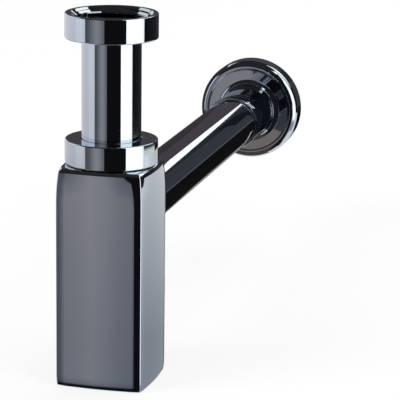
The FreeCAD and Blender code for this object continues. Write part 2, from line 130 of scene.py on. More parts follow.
def turn(name, rings, axis="Z", centre=(0, 0, 0), rounds=(), columns=160):
    """Turns a closed half section of (radius, station) points in mm round an axis.

    rounds lists (radius, station, rounding, segments) of the edges to break. A section
    that reaches the axis stops at POLE, and the weld closes its pole to one point."""
    nothing_selected()
    along = AXES[axis]
    middle = Vector(centre)
    radius, station = rings[0]
    bpy.ops.mesh.primitive_circle_add(
        vertices=columns,
        radius=radius * MM,
        fill_type="NOTHING",
        location=middle + along * station * MM,
        rotation=(0, 0, 0) if axis == "Z" else (radians(90), 0, 0),
    )
    piece = bpy.context.object
    bpy.ops.object.transform_apply(location=True, rotation=True, scale=True)
    bpy.ops.object.mode_set(mode="EDIT")
    bpy.ops.mesh.select_all(action="SELECT")
    for next_radius, next_station in [*rings[1:], rings[0]]:
        step = along * (next_station - station) * MM
        bpy.ops.mesh.extrude_region_move(TRANSFORM_OT_translate={"value": step})
        here = middle + along * next_station * MM
        ratio = next_radius / radius
        if next_radius != radius:
            bpy.ops.transform.resize(value=(ratio, ratio, ratio), center_override=here)
        radius, station = next_radius, next_station
    bpy.ops.mesh.select_all(action="SELECT")
    bpy.ops.mesh.remove_doubles(threshold=WELD * MM)
    bpy.ops.mesh.normals_make_consistent(inside=False)
    for edge_radius, edge_station, rounding, segments in rounds:
        pick(piece, "EDGE", lambda edge: all(
            on_ring(vertex.co, middle, along, edge_radius, edge_station) for vertex in edge.verts
        ))
        bpy.ops.mesh.bevel(
            offset=rounding * MM, segments=segments, profile=0.5, affect="EDGES", clamp_overlap=True
        )
    bpy.ops.object.mode_set(mode="OBJECT")
    return settle(piece, name)


def on_ring(co, middle, along, radius, station, near=0.01):
    """Whether a point lies on a ring of one radius at one station, all in mm."""
    out = co - middle
    height = out.dot(along)
    reach = (out - along * height).length
    return abs(height / MM - station) < near and abs(reach / MM - radius) < near


def millimetres(node, axis):
    """The lowest and highest place of a solid along one axis, in mm."""
    low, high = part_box(node)
    index = "XYZ".index(axis)
    return low[index] / MM, high[index] / MM


# %% [markdown]
# ## The inlet nut
# The upper nut couples the trap to the basin's waste. It is turned from brass bar, with
# a countersunk mouth, a G 1 1/4 thread and a lip that pulls the tube's flange up. Its
# outer edges are just broken, and those thin bright lines are what makes it look solid.

# %% Turn the inlet nut
nut_foot, nut_top = millimetres("inlet_nut", "Z")
nut_radius = millimetres("inlet_nut", "X")[1]
tube_radius = 16.0
bore_radius = 15.0
sliding_gap = 0.35
lip_radius = tube_radius + sliding_gap
thread_radius = 20.955
mouth_radius = 22.4
mouth_depth = 1.2
inlet_lip = 2.2
relief_radius = 21.5
relief_top = nut_foot + 6.3
inlet_nut = turn("inlet_nut_shell", [
    (lip_radius, nut_foot),
    (nut_radius, nut_foot),
    (nut_radius, nut_top),
    (mouth_radius, nut_top),
    (thread_radius, nut_top - mouth_depth),
    (thread_radius, relief_top),
    (relief_radius, relief_top),
    (relief_radius, nut_foot + inlet_lip),
    (lip_radius, nut_foot + inlet_lip),
], rounds=[
    (nut_radius, nut_foot, 0.7, 4),
    (nut_radius, nut_top, 0.6, 4),
    (mouth_radius, nut_top, 0.25, 2),
    (lip_radius, nut_foot, 0.3, 2),
])

# %% [markdown]
# ## Threads
# A thread is one tooth section wound up a helix. Modelling it with the Screw modifier
# keeps it exact: a small tooth is placed at the thread's radius, and the modifier
# sweeps it once round for every turn while it rises by the pitch.

# %% Wind a thread
G_PITCH = 2.309
G_DEPTH = 1.35


def wind(name, root_radius, depth, pitch, start, turns, steps=72):
    """Winds a pointed tooth round the Z axis; half of it is buried in its wall. All in mm."""
    nothing_selected()
    seat = Vector((root_radius, 0, start)) * MM
    tooth_half = 0.45 * pitch
    bpy.ops.mesh.primitive_circle_add(
        vertices=4,
        radius=tooth_half * MM,
        fill_type="NOTHING",
        location=seat,
        rotation=(radians(90), 0, 0),
    )
    tooth = bpy.context.object
    bpy.ops.object.transform_apply(location=True, rotation=True, scale=True)
    bpy.ops.object.mode_set(mode="EDIT")
    bpy.ops.mesh.select_all(action="SELECT")
    bpy.ops.transform.resize(value=(depth / tooth_half, 1, 1), center_override=seat)
    bpy.ops.object.mode_set(mode="OBJECT")
    bpy.ops.object.modifier_add(type="SCREW")
    screw = tooth.modifiers[-1]
    screw.angle = 2 * pi * turns
    screw.screw_offset = pitch * turns * MM
    screw.steps = screw.render_steps = round(steps * turns)
    screw.use_smooth_shade = False
    bpy.ops.object.modifier_apply(modifier=screw.name)
    bpy.ops.object.mode_set(mode="EDIT")
    bpy.ops.mesh.select_all(action="SELECT")
    bpy.ops.mesh.fill_holes(sides=8)
    bpy.ops.mesh.select_all(action="SELECT")
    bpy.ops.mesh.normals_make_consistent(inside=False)
    bpy.ops.object.mode_set(mode="OBJECT")
    return settle(tooth, name)


first_crest = relief_top + 0.6 * G_PITCH
inlet_thread = wind("inlet_nut_thread", thread_radius, G_DEPTH, G_PITCH, first_crest, turns=2)

# %% [markdown]
# ## The inlet tube
# A 32 mm tube with its end spun out to a flange hangs in the inlet nut. Its long lower
# end dips into the water inside the bottle. A plain turned section does for it, and
# only the free end and the flange's edge are broken.

# %% Turn the inlet tube
dip_end, flange_top = millimetres("inlet_tube", "Z")
flange_radius = millimetres("inlet_tube", "X")[1]
flange_foot = nut_foot + inlet_lip
inlet_tube = turn("inlet_tube_shell", [
    (bore_radius, dip_end),
    (tube_radius, dip_end),
    (tube_radius, flange_foot),
    (flange_radius, flange_foot),
    (flange_radius, flange_top),
    (bore_radius, flange_top),
], rounds=[
    (tube_radius, dip_end, 0.3, 3),
    (flange_radius, flange_top, 0.4, 3),
    (bore_radius, flange_top, 0.4, 3),
])

# %% [markdown]
# ## The body nut
# The lower nut presses the cone seal round the tube. It looks like the inlet nut upside
# down: the lip is on top and the thread opens downwards. The thread's tooth is half a
# pitch away from the neck's, so the two mesh, and they stay in mesh while the nut is
# unscrewed, because it rises by one pitch for each turn.

# %% Turn the body nut
body_nut_foot, body_nut_top = millimetres("body_nut", "Z")
body_nut_lip = body_nut_top - 2.8
body_nut_turns = 3
body_nut = turn("body_nut_shell", [
    (thread_radius, body_nut_foot),
    (nut_radius, body_nut_foot),
    (nut_radius, body_nut_top),
    (lip_radius, body_nut_top),
    (lip_radius, body_nut_lip),
    (thread_radius, body_nut_lip),
], rounds=[
    (nut_radius, body_nut_foot, 0.6, 4),
    (nut_radius, body_nut_top, 0.7, 4),
    (lip_radius, body_nut_top, 0.3, 3),
    (thread_radius, body_nut_foot, 0.5, 1),
])
body_nut_thread = wind(
    "body_nut_thread", thread_radius, G_DEPTH, G_PITCH, body_nut_foot + G_PITCH, body_nut_turns
)

# %% [markdown]
# ## The bottle
# The square bottle is one forging: flat sides that swell a little, upright corners that
# roll off softly and end in a tight edge, and a soft shoulder. A plain round fillet
# would give every corner a wide bright stripe. Three bevels give the real section: one
# breaks the corner into two slopes, one softens where each slope leaves its face, and
# a small one rounds the edge itself. The Cast modifier then pulls the flat sides a
# little towards a cylinder, and proportional editing wears the top corners rounder.
# The corners' narrow faces would clamp a bevel at the top and the foot, so rows are cut
# there, and each row is scaled towards the axis to follow its curve.

# %% Raise the bottle's block
def block(width, low, high):
    """Adds a square block of one width between two heights, all in mm."""
    nothing_selected()
    bpy.ops.mesh.primitive_cube_add(size=1, location=(0, 0, (low + high) / 2 * MM))
    made = bpy.context.object
    made.scale = (width * MM, width * MM, (high - low) * MM)
    bpy.ops.object.transform_apply(location=True, rotation=True, scale=True)
    print(f"block {width:.1f} mm wide and {high - low:.1f} mm tall")
    return made


bottle_foot = millimetres("trap_body", "Z")[0]
bottle_width = 2 * millimetres("trap_body", "X")[1]
bottle_top = body_nut_foot - 0.3
bottle_height = bottle_top - bottle_foot
body_wall = 3.0
top_thick = 4.0
swelling = 0.17
bottle = block(bottle_width, bottle_foot, bottle_top)
half = bottle_width / 2 * MM
top = bottle_top * MM
foot = bottle_foot * MM

# %% Round its upright edges and open it from below
corner_reach = 4.6
corner_profile = 0.778
slope_round = 1.4
edge_round = 0.5
bpy.ops.object.mode_set(mode="EDIT")
pick(bottle, "EDGE", upright)
bpy.ops.mesh.bevel(offset=corner_reach * MM, segments=2, profile=corner_profile, affect="EDGES")
# First come the edges where the slopes leave the faces, then those on the diagonals.
for on_column, offset, segments in (
    (lambda co: max(abs(co.x), abs(co.y)) > half - TINY, slope_round, 5),
    (lambda co: abs(abs(co.x) - abs(co.y)) < TINY, edge_round, 7),
):
    pick(bottle, "EDGE", lambda edge: upright(edge) and on_column(edge.verts[0].co))
    bpy.ops.mesh.bevel(offset=offset * MM, segments=segments, profile=0.5, affect="EDGES")
pick(bottle, "FACE", lambda face: face.normal.z < -0.9)
bpy.ops.mesh.inset(thickness=body_wall * MM)
inner_height = (bottle_height - top_thick) * MM
bpy.ops.mesh.extrude_region_move(TRANSFORM_OT_translate={"value": (0, 0, inner_height)})
print("wall", body_wall, "mm, cavity", round(inner_height / MM, 1), "mm tall")

# %% Cut rows and columns, then swell the sides
def slice_through(places, direction):
    """Cuts the whole edit mesh at several places along one direction, in mm."""
    for place in places:
        bpy.ops.mesh.select_all(action="SELECT")
        bpy.ops.mesh.bisect(plane_co=direction * place * MM, plane_no=direction)


# The rows stand evenly in the middle and crowd towards the foot and the shoulder.
flat_half = bottle_width / 2 - corner_reach
columns = [flat_half * (step / 4 - 1) for step in range(1, 8)]
foot_lifts = (0.06, 0.18, 0.36, 0.6, 1, 1.6, 2.6, 4, 6)
plain_from = 12
shoulder_reach = 3.2
shoulder_power = 2.3
shoulder_turns = (0, 4, 10, 18, 28, 40, 54, 70, 90)
shoulder_steps = [sin(radians(turned)) ** (2 / shoulder_power) for turned in shoulder_turns]
rows = [bottle_foot + lift for lift in (*foot_lifts, 8.5, plain_from)]
rows += [rows[-1] + (bottle_height - 2 * plain_from) * step / 10 for step in range(1, 11)]
rows += [bottle_top - drop for drop in (18, 15, 12.5, 10, 8, 6.5, 5, 4)]
rows += [bottle_top - shoulder_reach * (1 - step) for step in shoulder_steps[:-1]]
slice_through(columns, AXES["X"])
slice_through(columns, AXES["Y"])
slice_through(rows, AXES["Z"])
bpy.ops.object.mode_set(mode="OBJECT")
bpy.ops.object.modifier_add(type="CAST")
swell = bottle.modifiers[-1]
swell.cast_type = "CYLINDER"
swell.use_z = False
swell.use_radius_as_size = False
swell.factor = swelling
swell.size = half
bpy.ops.object.modifier_apply(modifier=swell.name)
low_x = min(vertex.co.x for vertex in bottle.data.vertices)
print("swollen side at", round(low_x / MM, 2), "mm")

# %% Wear the top corners
# The highest vertices of each corner are pulled in, and the rest follow less and less.
wear_depth = 1.7
wear_reach = 18.0
corner_deep = 0.9 * MM
corner_wide = 0.6 * MM
top_ring = 0.2 * MM


def at_corner(vertex, outward, reach):
    """Whether a vertex of the topmost ring lies at the corner that points outward."""
    deep = vertex.co.dot(outward) > reach - corner_deep
    narrow = abs(vertex.co.cross(outward).z) < corner_wide
    return deep and narrow and vertex.co.z > top - top_ring


bpy.ops.object.mode_set(mode="EDIT")
for side_x in (-1, 1):
    for side_y in (-1, 1):
        outward = Vector((side_x, side_y, 0)).normalized()
        mesh = bmesh.from_edit_mesh(bottle.data)
        reach = max(vertex.co.dot(outward) for vertex in mesh.verts)
        pick(bottle, "VERT", lambda vertex: at_corner(vertex, outward, reach))
        bpy.ops.transform.translate(
            value=-outward * wear_depth * MM,
            use_proportional_edit=True,
            proportional_edit_falloff="SHARP",
            proportional_size=wear_reach * MM,
        )
bpy.ops.object.mode_set(mode="OBJECT")
print("top corners worn in by", wear_depth, "mm")

# %% Round the shoulder
# Each row of the shoulder is scaled towards the axis, so the corners keep their shape.
outer_from = 0.75 * half


def draw_in(height, is_outer, inset):
    """Scales the outer vertices of one row of the bottle until its sides are inset, in mm."""
    pick(bottle, "VERT", lambda vertex: is_outer(vertex) and abs(vertex.co.z - height) < TINY)
    drawn = 1 - inset * MM / half
    bpy.ops.transform.resize(value=(drawn, drawn, 1), center_override=(0, 0, height))


bpy.ops.object.mode_set(mode="EDIT")
for step in shoulder_steps[1:]:
    draw_in(
        top - shoulder_reach * (1 - step) * MM,
        lambda vertex: max(abs(vertex.co.x), abs(vertex.co.y)) > outer_from,
        shoulder_reach * (1 - max(0, 1 - step ** shoulder_power) ** (1 / shoulder_power)),
    )
bpy.ops.object.mode_set(mode="OBJECT")
print("shoulder rounded in", len(shoulder_steps) - 1, "rows")

# %% Draw in the foot
# Each row near the foot is scaled towards the axis, less and less with its height.
roll_height = 8.0
roll_depth = 0.45
foot_round = 0.6


def faces_out(vertex):
    """True for a vertex of the outer wall, false for one of the cavity's."""
    return vertex.normal.x * vertex.co.x + vertex.normal.y * vertex.co.y > 0


bpy.ops.object.mode_set(mode="EDIT")
for lift in (0, *foot_lifts):
    rolled = roll_depth * (1 - lift / roll_height) ** 3
    rounded = foot_round - sqrt(foot_round ** 2 - max(0, foot_round - lift) ** 2)
    draw_in(foot + lift * MM, faces_out, rolled + rounded)
bpy.ops.object.mode_set(mode="OBJECT")
print("foot drawn in by", roll_depth, "mm and rounded by", foot_round, "mm")

# %% Bore the neck and the outlet
# Two turned cutters take the bores out of the block, as a drill would.
def bore(piece, cutter):
    """Takes a closed cutter out of a piece and throws the cutter away."""
    select_only(piece)
    bpy.ops.object.modifier_add(type="BOOLEAN")
    cut = piece.modifiers[-1]
    cut.operation = "DIFFERENCE"
    cut.solver = "EXACT"
    cut.object = cutter
    before = len(piece.data.polygons)
    bpy.ops.object.modifier_apply(modifier=cut.name)
    bpy.data.objects.remove(cutter)
    print(f"{piece.name}: {before} faces before the bore, {len(piece.data.polygons)} after")


INNER_COLUMNS = 96


def drill(name, radius, start, end, axis="Z", centre=(0, 0, 0)):
    """A closed turned drum between two stations, in mm, for cutting a bore."""
    section = [(POLE, start), (radius, start), (radius, end), (POLE, end)]
    return turn(name, section, axis, centre, columns=INNER_COLUMNS)


outlet_height = sum(millimetres("outlet_tube", "Z")) / 2
outlet_centre = Vector((0, 0, outlet_height)) * MM
neck_bore = 17.2
ferrule_radius = 19.0
back_start = 18
back_end = 30
bore(bottle, drill("neck_drill", neck_bore, bottle_top - top_thick - 1, bottle_top + 1))
bore(bottle, drill("outlet_drill", ferrule_radius, back_start, back_end, "Y", outlet_centre))
settle(bottle, "bottle_shell", angle=35)

# %% [markdown]
# ## The neck
# A threaded neck stands on the bottle, and the cone seal sits in its tapered mouth. It
# shows only when the body nut is unscrewed, but then its thread is the first thing
# that the eye looks for.

# %% Turn the neck and its thread
neck_radius = 19.476
neck_top = bottle_top + 8.5
neck_foot = bottle_top - 3.9
cone_mouth = 18.2
cone_end = 16.9
cone_depth = 5.2
neck = turn("neck_shell", [
    (cone_end, neck_foot),
    (neck_radius, neck_foot),
    (neck_radius, neck_top),
    (cone_mouth, neck_top),
    (cone_end, neck_top - cone_depth),
], rounds=[(neck_radius, neck_top, 0.5, 2)], columns=INNER_COLUMNS)
neck_thread = wind(
    "neck_thread", neck_radius, G_DEPTH, G_PITCH, body_nut_foot + G_PITCH / 2, body_nut_turns
)

# %% [markdown]
# ## The base and its cleaning plug
# Under the bottle a plate is soldered in, and a plug with a hexagon socket unscrews
# from it to let the dirt out. The plate is a square with a round hole, so it starts as
# a block, and the hole and the socket are cut by turned and six-sided cutters.

# %% Make the base plate
plate_width = 2 * millimetres("base_plate", "X")[1]
plate_top = bottle_foot + 3.4
plate_corner = 2.0
plate_edge = 0.4
seat_top = millimetres("base_plate", "Z")[1]
head_radius = millimetres("cleaning_plug", "X")[1]
recess_radius = head_radius + 0.3
plate = block(plate_width, bottle_foot, plate_top)
bpy.ops.object.mode_set(mode="EDIT")
pick(plate, "EDGE", upright)
bpy.ops.mesh.bevel(offset=plate_corner * MM, segments=6, profile=0.5, affect="EDGES")
pick(plate, "EDGE", lambda edge: all(abs(vertex.co.z - foot) < TINY for vertex in edge.verts))
bpy.ops.mesh.bevel(offset=plate_edge * MM, segments=2, profile=0.5, affect="EDGES")
bpy.ops.object.mode_set(mode="OBJECT")
bore(plate, drill("plate_drill", recess_radius, bottle_foot - 1, plate_top + 1))
settle(plate, "base_plate_shell")

# %% Turn the plug's seat
seat_radius = 20.9
seat_foot = plate_top - 0.2
seat_floor = bottle_foot + 3.7
plug_thread_radius = 17.0
plug_seat = turn("plug_seat_shell", [
    (recess_radius, seat_foot),
    (seat_radius, seat_foot),
    (seat_radius, seat_top),
    (plug_thread_radius, seat_top),
    (plug_thread_radius, seat_floor),
    (recess_radius, seat_floor),
], columns=INNER_COLUMNS)

# %% Turn the cleaning plug
PLUG_PITCH = 1.5
PLUG_DEPTH = 0.85
shank_radius = 16.08
head_top = bottle_foot + 2.2
key_width = 14.0
key_depth = 3.0
plug = turn("cleaning_plug_shell", [
    (POLE, bottle_foot),
    (head_radius, bottle_foot),
    (head_radius, head_top),
    (shank_radius, head_top),
    (shank_radius, seat_top),
    (POLE, seat_top),
], rounds=[(head_radius, bottle_foot, 0.5, 3)], columns=INNER_COLUMNS)
nothing_selected()
bpy.ops.mesh.primitive_cylinder_add(
    vertices=6,
    radius=key_width / sqrt(3) * MM,
    depth=2 * key_depth * MM,
    location=(0, 0, foot),
    rotation=(0, 0, radians(30)),
)
bore(plug, bpy.context.object)
settle(plug, "cleaning_plug_shell")
plug_crest = head_top + 1.6 * PLUG_PITCH
plug_thread = wind(
    "cleaning_plug_thread", shank_radius, PLUG_DEPTH, PLUG_PITCH, plug_crest, turns=2.2
)

# %% [markdown]
# ## The outlet tube
# The outlet is the same 32 mm tube as the inlet. Behind the wall's face a shallow ring
# is rolled into it, which shows the plumber how far to push it into the seal.

# %% Turn the outlet tube
tube_start, tube_end = millimetres("outlet_tube", "Y")
wall_face = millimetres("wall_rosette", "Y")[1]
mark_start = wall_face + 1.0
mark_end = mark_start + 1.5
mark_depth = 0.3
outlet_tube = turn("outlet_tube_shell", [
    (bore_radius, tube_start),
    (tube_radius, tube_start),
    (tube_radius, mark_start),
    (tube_radius - mark_depth, mark_start + mark_depth),
    (tube_radius - mark_depth, mark_end - mark_depth),
    (tube_radius, mark_end),
    (tube_radius, tube_end),
    (bore_radius, tube_end),
], "Y", outlet_centre, rounds=[(tube_radius, tube_end, 0.3, 3)])

# %% [markdown]
# ## The wall rosette
# The rosette hides the hole in the wall. It is spun from one disc of brass sheet: a rim
# with a quarter-round bead, a small step down to a flat face, and a flared sleeve that
# slides on the tube. Its roundings carry most of the reflections, so each one gets its
# own bevel with enough segments to stay smooth.

# %% Spin the rosette
sleeve_front = millimetres("wall_rosette", "Y")[0]
rim_radius = millimetres("wall_rosette", "X")[1]
crown = wall_face - 15.0
crown_radius = rim_radius - 4.9
face_radius = 26.8
face_station = crown + 0.8
sleeve_radius = 17.1
sleeve_bore = 16.5
sleeve_lip = 16.12
lip_end = sleeve_front + 0.8
sheet = 1.2
rosette = turn("wall_rosette_shell", [
    (rim_radius, wall_face),
    (rim_radius, crown),
    (crown_radius, crown),
    (face_radius, face_station),
    (sleeve_radius, face_station),
    (sleeve_radius, sleeve_front),
    (sleeve_lip, sleeve_front),
    (sleeve_lip, lip_end),
    (sleeve_bore, lip_end),
    (sleeve_bore, face_station + sheet),
    (face_radius, face_station + sheet),
    (crown_radius, crown + sheet),
    (rim_radius - sheet, crown + sheet),
    (rim_radius - sheet, wall_face),
], "Y", outlet_centre, rounds=[
    (rim_radius, crown, 4.6, 16),
    (crown_radius, crown, 0.28, 4),
    (face_radius, face_station, 0.3, 4),
    (sleeve_radius, face_station, 4.2, 12),
    (sleeve_radius, sleeve_front, 0.8, 6),
    (rim_radius - sheet, crown + sheet, 3.4, 8),
], columns=192)

# %% Turn the grip ring
# A thin plastic ring inside the sleeve keeps the rosette where it is pushed.
grip_start = lip_end + 0.1
grip_end = millimetres("rosette_ring", "Y")[1]
grip_inside = tube_radius + 0.05
grip_outside = sleeve_bore - 0.05
grip_ring = turn("grip_ring", [
    (grip_inside, grip_start),
    (grip_outside, grip_start),
    (grip_outside, grip_end),
    (grip_inside, grip_end),
], "Y", outlet_centre)

# %% [markdown]
# ## The outlet boss
# Behind the rosette's tube, a turned brass ferrule and a rubber ring sit in the back
# wall. Both keep their solids. A boss inside the bottle carries them.

# %% Turn the boss
gasket_seat = millimetres("outlet_gasket", "Y")[0]
boss_lip = 1.5
boss_bore = 15.5
boss_radius = 21.3
boss_end = 21.8
boss = turn("outlet_boss_shell", [
    (boss_bore, gasket_seat - boss_lip),
    (boss_radius, gasket_seat - boss_lip),
    (boss_radius, boss_end),
    (ferrule_radius, boss_end),
    (ferrule_radius, gasket_seat),
    (boss_bore, gasket_seat),
], "Y", outlet_centre, columns=INNER_COLUMNS)

# %% [markdown]
# ## Riding on the mechanism
# Every piece rides on the body that it belongs to, so it turns and slides with its
# joint. Where a new piece stands for a solid, the solid is hidden and stays behind for
# the collision model.

# %% Ride and replace
def stands_for(solid, body, *parts, slot="chrome"):
    """Lets the pieces ride on a body and stand for a solid; the slot argument is not used."""
    for part in parts:
        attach(part, body)
        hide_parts(solid)
    print(solid, "is shown by", ", ".join(part.name for part in parts))


stands_for("inlet_nut", "union", inlet_nut, inlet_thread)
stands_for("inlet_tube", "inlet", inlet_tube)
stands_for("body_nut", "lock_nut", body_nut, body_nut_thread)
stands_for("trap_body", "trap", bottle, neck, neck_thread, boss)
stands_for("base_plate", "trap", plate, plug_seat)
stands_for("cleaning_plug", "plug", plug, plug_thread)
stands_for("outlet_tube", "trap", outlet_tube)
stands_for("wall_rosette", "rosette", rosette)
stands_for("rosette_ring", "grip", grip_ring, slot="white_plastic")

# %% [markdown]
# ## Marks of polishing
# Even a polished surface is not even: the wheel leaves fine lines along its path, and
# handling leaves faint clouds where the shine is softer. One node group makes both.
# It gives out a roughness, a height for the bump and a mask for the colour, and
# each finish places it with its own values.

# %% Node helpers
def add_node(tree, kind, **values):
    """Adds a shader node and sets its properties."""
    made = tree.nodes.new(kind)
    for name, value in values.items():
        setattr(made, name, value)
    return made


def calculate(tree, operation, first, second, third=None):
    """A Math node whose inputs are sockets or numbers; returns its output."""
    made = add_node(tree, "ShaderNodeMath", operation=operation)
    for socket, value in zip(made.inputs, (first, second, third)):
        if value is None:
            continue
        if isinstance(value, bpy.types.NodeSocket):
            tree.links.new(value, socket)
        else:
            socket.default_value = value
    return made.outputs[0]


# %% Build the group of polishing marks
marks = bpy.data.node_groups.new("polishing_marks", "ShaderNodeTree")
for title, kind, start in (
    ("Place", "NodeSocketVector", None),
    ("Line Stretch", "NodeSocketVector", (1, 1, 1)),
    ("Line Count", "NodeSocketFloat", 900),
    ("Cloud Size", "NodeSocketFloat", 30),
    ("Low Roughness", "NodeSocketFloat", 0.03),
    ("High Roughness", "NodeSocketFloat", 0.08),
):
    made = marks.interface.new_socket(title, in_out="INPUT", socket_type=kind)
    if start is not None:
        made.default_value = start
for title in ("Roughness", "Height", "Cloud"):
    marks.interface.new_socket(title, in_out="OUTPUT", socket_type="NodeSocketFloat")
entry = add_node(marks, "NodeGroupInput")
leave = add_node(marks, "NodeGroupOutput")
stretched = add_node(marks, "ShaderNodeVectorMath", operation="MULTIPLY")
marks.links.new(entry.outputs["Place"], stretched.inputs[0])
marks.links.new(entry.outputs["Line Stretch"], stretched.inputs[1])
lines = add_node(marks, "ShaderNodeTexNoise")
lines.inputs["Detail"].default_value = 3
marks.links.new(stretched.outputs[0], lines.inputs["Vector"])
marks.links.new(entry.outputs["Line Count"], lines.inputs["Scale"])
cloud = add_node(marks, "ShaderNodeTexNoise")
cloud.inputs["Detail"].default_value = 4
cloud.inputs["Roughness"].default_value = 0.6
marks.links.new(entry.outputs["Place"], cloud.inputs["Vector"])
marks.links.new(entry.outputs["Cloud Size"], cloud.inputs["Scale"])
patch = add_node(marks, "ShaderNodeMapRange")
patch.inputs["From Min"].default_value = 0.35
patch.inputs["From Max"].default_value = 0.7
marks.links.new(cloud.outputs["Fac"], patch.inputs["Value"])
cloud_share = 0.75
low = entry.outputs["Low Roughness"]
spread = calculate(marks, "SUBTRACT", entry.outputs["High Roughness"], low)
mixed = calculate(marks, "MULTIPLY", patch.outputs[0], cloud_share)
mixed = calculate(marks, "MULTIPLY_ADD", lines.outputs["Fac"], 1 - cloud_share, mixed)
rough = calculate(marks, "MULTIPLY_ADD", spread, mixed, low)
marks.links.new(rough, leave.inputs["Roughness"])
marks.links.new(lines.outputs["Fac"], leave.inputs["Height"])
marks.links.new(patch.outputs[0], leave.inputs["Cloud"])
print("polishing_marks:", len(marks.nodes), "nodes")


# %% A finish from the marks
def finish(name, light, dark, metallic, roughness, stretch, count, clouds, bump=0, distance=0.1):
    """A material whose colour, roughness and bump vary with the polishing marks.

    stretch and count shape the lines, clouds the clouds, and distance is in mm."""
    made = bpy.data.materials.new(name)
    made.use_nodes = True
    tree = made.node_tree
    shader = tree.nodes["Principled BSDF"]
    shader.inputs["Metallic"].default_value = metallic
    place = add_node(tree, "ShaderNodeTexCoord")
    group = add_node(tree, "ShaderNodeGroup", node_tree=marks)
    tree.links.new(place.outputs["Object"], group.inputs["Place"])
    group.inputs["Line Stretch"].default_value = stretch
    group.inputs["Line Count"].default_value = count
    group.inputs["Cloud Size"].default_value = clouds
    group.inputs["Low Roughness"].default_value = roughness[0]
    group.inputs["High Roughness"].default_value = roughness[1]
    tone = add_node(tree, "ShaderNodeMix", data_type="RGBA")
    tone.inputs[6].default_value = (*light, 1)
    tone.inputs[7].default_value = (*dark, 1)
    tree.links.new(group.outputs["Cloud"], tone.inputs[0])
    tree.links.new(tone.outputs[2], shader.inputs["Base Color"])
    tree.links.new(group.outputs["Roughness"], shader.inputs["Roughness"])
    if bump:
        raised = add_node(tree, "ShaderNodeBump")
        raised.inputs["Strength"].default_value = bump
        raised.inputs["Distance"].default_value = distance * MM
        tree.links.new(group.outputs["Height"], raised.inputs["Height"])
        tree.links.new(raised.outputs["Normal"], shader.inputs["Normal"])
    return made


# %% [markdown]
# ## Chrome, brass, rubber and plastic
# Chrome plate is a mirror with a slight blue cast that gives back a little over half of
# the light, so nearly all of its look comes from what stands round it. Its marks are
# too fine for a bump: they only soften the shine, in lines round the nuts and along
# the tubes.

# %% Make the finishes
chrome_light = (0.53, 0.585, 0.635)
chrome_dark = (0.51, 0.565, 0.615)
chrome_block, chrome_turned, chrome_drawn, chrome_outlet = (
    finish(name, chrome_light, chrome_dark, 1, roughness, stretch, count, clouds)
    for name, roughness, stretch, count, clouds in (
        ("chrome_block", (0.035, 0.07), (1, 1, 1), 300, 25),
        ("chrome_turned", (0.02, 0.045), (1, 1, 30), 60, 40),
        ("chrome_drawn", (0.025, 0.05), (25, 25, 1), 60, 30),
        ("chrome_outlet", (0.025, 0.05), (25, 1, 25), 60, 30),
    )
)
brass_turned = finish(
    "brass_turned", (0.78, 0.62, 0.34), (0.66, 0.5, 0.25), 1,
    roughness=(0.22, 0.38), stretch=(1, 40, 1), count=80, clouds=60, bump=0.2,
)
seal_rubber = finish(
    "seal_rubber", (0.03, 0.03, 0.03), (0.045, 0.044, 0.042), 0,
    roughness=(0.55, 0.8), stretch=(1, 1, 1), count=2500, clouds=120, bump=0.3, distance=0.2,
)
ring_plastic = finish(
    "ring_plastic", (0.86, 0.86, 0.83), (0.82, 0.82, 0.78), 0,
    roughness=(0.35, 0.5), stretch=(1, 1, 1), count=900, clouds=80, bump=0.1,
)
for pieces, finish_made in (
    ((bottle, plate), chrome_block),
    ((inlet_nut, inlet_thread, body_nut, body_nut_thread, neck, neck_thread), chrome_turned),
    ((boss, plug_seat, plug, plug_thread, rosette), chrome_turned),
    ((inlet_tube,), chrome_drawn),
    ((outlet_tube,), chrome_outlet),
    ((grip_ring,), ring_plastic),
):
    for piece in pieces:
        piece.data.materials.clear()
        piece.data.materials.append(finish_made)
for solid, finish_made in (
    ("outlet_ferrule", brass_turned),
    ("cone_seal", seal_rubber),
    ("inlet_washer", seal_rubber),
    ("plug_gasket", seal_rubber),
    ("outlet_gasket", seal_rubber),
    ("slip_ring", ring_plastic),
):
    for material_slot in nodes[solid].material_slots:
        material_slot.material = finish_made
print("finishes:", ", ".join(sorted(material.name for material in bpy.data.materials)))

# %% [markdown]
# ## The studio
# A mirror shows its studio, so large cards stand round the object: a grey and a pale one
# on the left, black ones for depth, and one bright softbox on the right. Here each card
# is an edge spun into a curved panel. The cards are seen only in reflections, and the
# floor only directly, where it takes the shadow. A card glows on its inner side and is
# clear from behind, so that a small one near the object doesn't hide the far ones.

# %% A card's glow
studio_radius = 6.0
height_span = 90


def only_mirrored(panel):
    """Marks a panel as stage, seen in reflections and nowhere else."""
    panel.visible_camera = False
    panel.visible_diffuse = False
    panel.visible_shadow = False
    panel.visible_transmission = False
    panel.visible_volume_scatter = False


def fill_ramp(tree, value, run, target):
    """Turns a value into a colour by a ramp of (position, colour) pairs."""
    ramp = add_node(tree, "ShaderNodeValToRGB")
    keys = ramp.color_ramp.elements
    while len(keys) < len(run):
        keys.new(0.5)
    for key, (position, _) in zip(keys, run):
        key.position = position
    for key, (_, colour) in zip(keys, run):
        key.color = (*colour, 1)
    tree.links.new(value, ramp.inputs["Fac"])
    tree.links.new(ramp.outputs["Color"], target)


